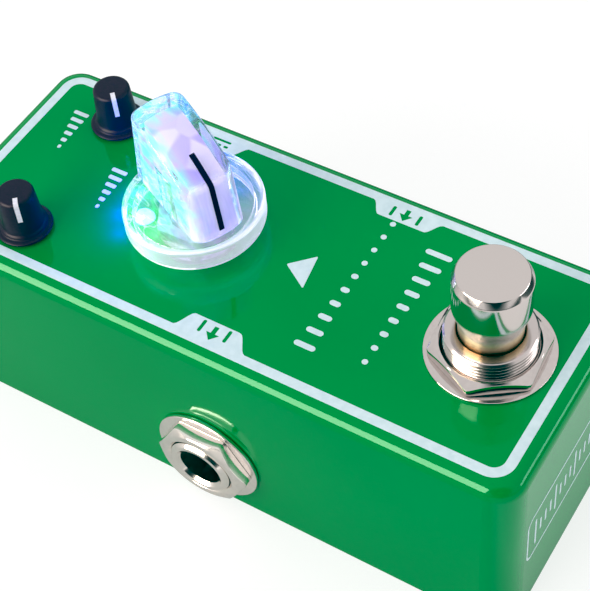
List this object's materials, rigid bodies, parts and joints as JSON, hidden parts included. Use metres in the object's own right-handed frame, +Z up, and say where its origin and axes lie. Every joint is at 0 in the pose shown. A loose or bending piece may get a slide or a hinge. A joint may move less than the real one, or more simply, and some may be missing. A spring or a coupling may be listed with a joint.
{
  "type": "delay pedal",
  "caption": "Small die-cast effects pedal with a stomp switch, a large clear lit knob, two small knobs, a jack on each side and a power inlet.",
  "frame": {"origin": "middle of the base, on the surface that the pedal stands on", "axes": "+X across the box towards the input side, +Y along the box towards the knob end, +Z up"},
  "size_m": [0.0436, 0.0926, 0.0503],
  "materials": {
    "green_enamel": "glossy stoved enamel on a die casting",
    "nickel": "bright nickel plate on turned and stamped parts",
    "steel": "plain steel, zinc plated",
    "silvered_contact": "silvered spring brass",
    "clear_acrylic": "clear moulded acrylic",
    "black_line": "black filled line",
    "black_knob": "satin black moulding",
    "white_line": "white filled line",
    "lamp_lens": "water-clear lens, lit blue and green",
    "black_moulding": "black moulded cases",
    "circuit_board": "solder-masked glass epoxy board",
    "capacitor_can": "drawn aluminium can"
  },
  "bodies": {
    "housing": {"housing_shell": "green_enamel", "bottom_plate": "green_enamel", "footswitch_bushing": "nickel", "footswitch_washer": "nickel", "footswitch_nut": "nickel", "footswitch_inner_nut": "nickel", "footswitch_lock_washer": "nickel", "time_pot_nut": "nickel", "time_pot_washer": "nickel", "output_jack_bushing": "nickel", "output_jack_washer": "nickel", "output_jack_nut": "nickel", "input_jack_bushing": "nickel", "input_jack_washer": "nickel", "input_jack_nut": "nickel", "dc_jack_pin": "nickel", "plate_screws": "steel", "footswitch_frame": "steel", "footswitch_spring": "steel", "lamp_leads": "steel", "output_jack_contacts": "silvered_contact", "input_jack_contacts": "silvered_contact", "dc_jack_contacts": "silvered_contact", "footswitch_terminals": "silvered_contact", "glow_lamp": "lamp_lens", "footswitch_case": "black_moulding", "time_pot_case": "black_moulding", "left_pot_case": "black_moulding", "right_pot_case": "black_moulding", "output_jack_case": "black_moulding", "input_jack_case": "black_moulding", "dc_jack_case": "black_moulding", "board_header": "black_moulding", "board_socket": "black_moulding", "delay_chip": "black_moulding", "amplifier_chips": "black_moulding", "voltage_regulator": "black_moulding", "main_board": "circuit_board", "control_board": "circuit_board", "capacitors": "capacitor_can"},
    "footswitch_cap": {"footswitch_plunger": "nickel"},
    "time_control": {"time_knob": "clear_acrylic", "time_knob_indicator": "black_line", "time_pot_shaft": "steel"},
    "left_control": {"left_knob": "black_knob", "left_knob_pointer": "white_line", "left_pot_shaft": "steel"},
    "right_control": {"right_knob": "black_knob", "right_knob_pointer": "white_line", "right_pot_shaft": "steel"}
  },
  "joints": [
    {"name": "footswitch_press", "type": "slide", "parent": "housing", "child": "footswitch_cap", "axis": [0, 0, -1], "range_m": [0, 0.0022], "stiffness_N_per_m": 5000, "springref_m": -0.0006, "deforming": ["footswitch_spring"]},
    {"name": "time_turn", "type": "hinge", "parent": "housing", "child": "time_control", "pos_m": [0, 0.0106, 0.0339], "axis": [0, 0, -1], "range_deg": [0, 300]},
    {"name": "left_turn", "type": "hinge", "parent": "housing", "child": "left_control", "pos_m": [-0.01115, 0.0318, 0.0323], "axis": [0, 0, -1], "range_deg": [0, 270]},
    {"name": "right_turn", "type": "hinge", "parent": "housing", "child": "right_control", "pos_m": [0.01115, 0.0318, 0.0323], "axis": [0, 0, -1], "range_deg": [0, 270]}
  ]
}
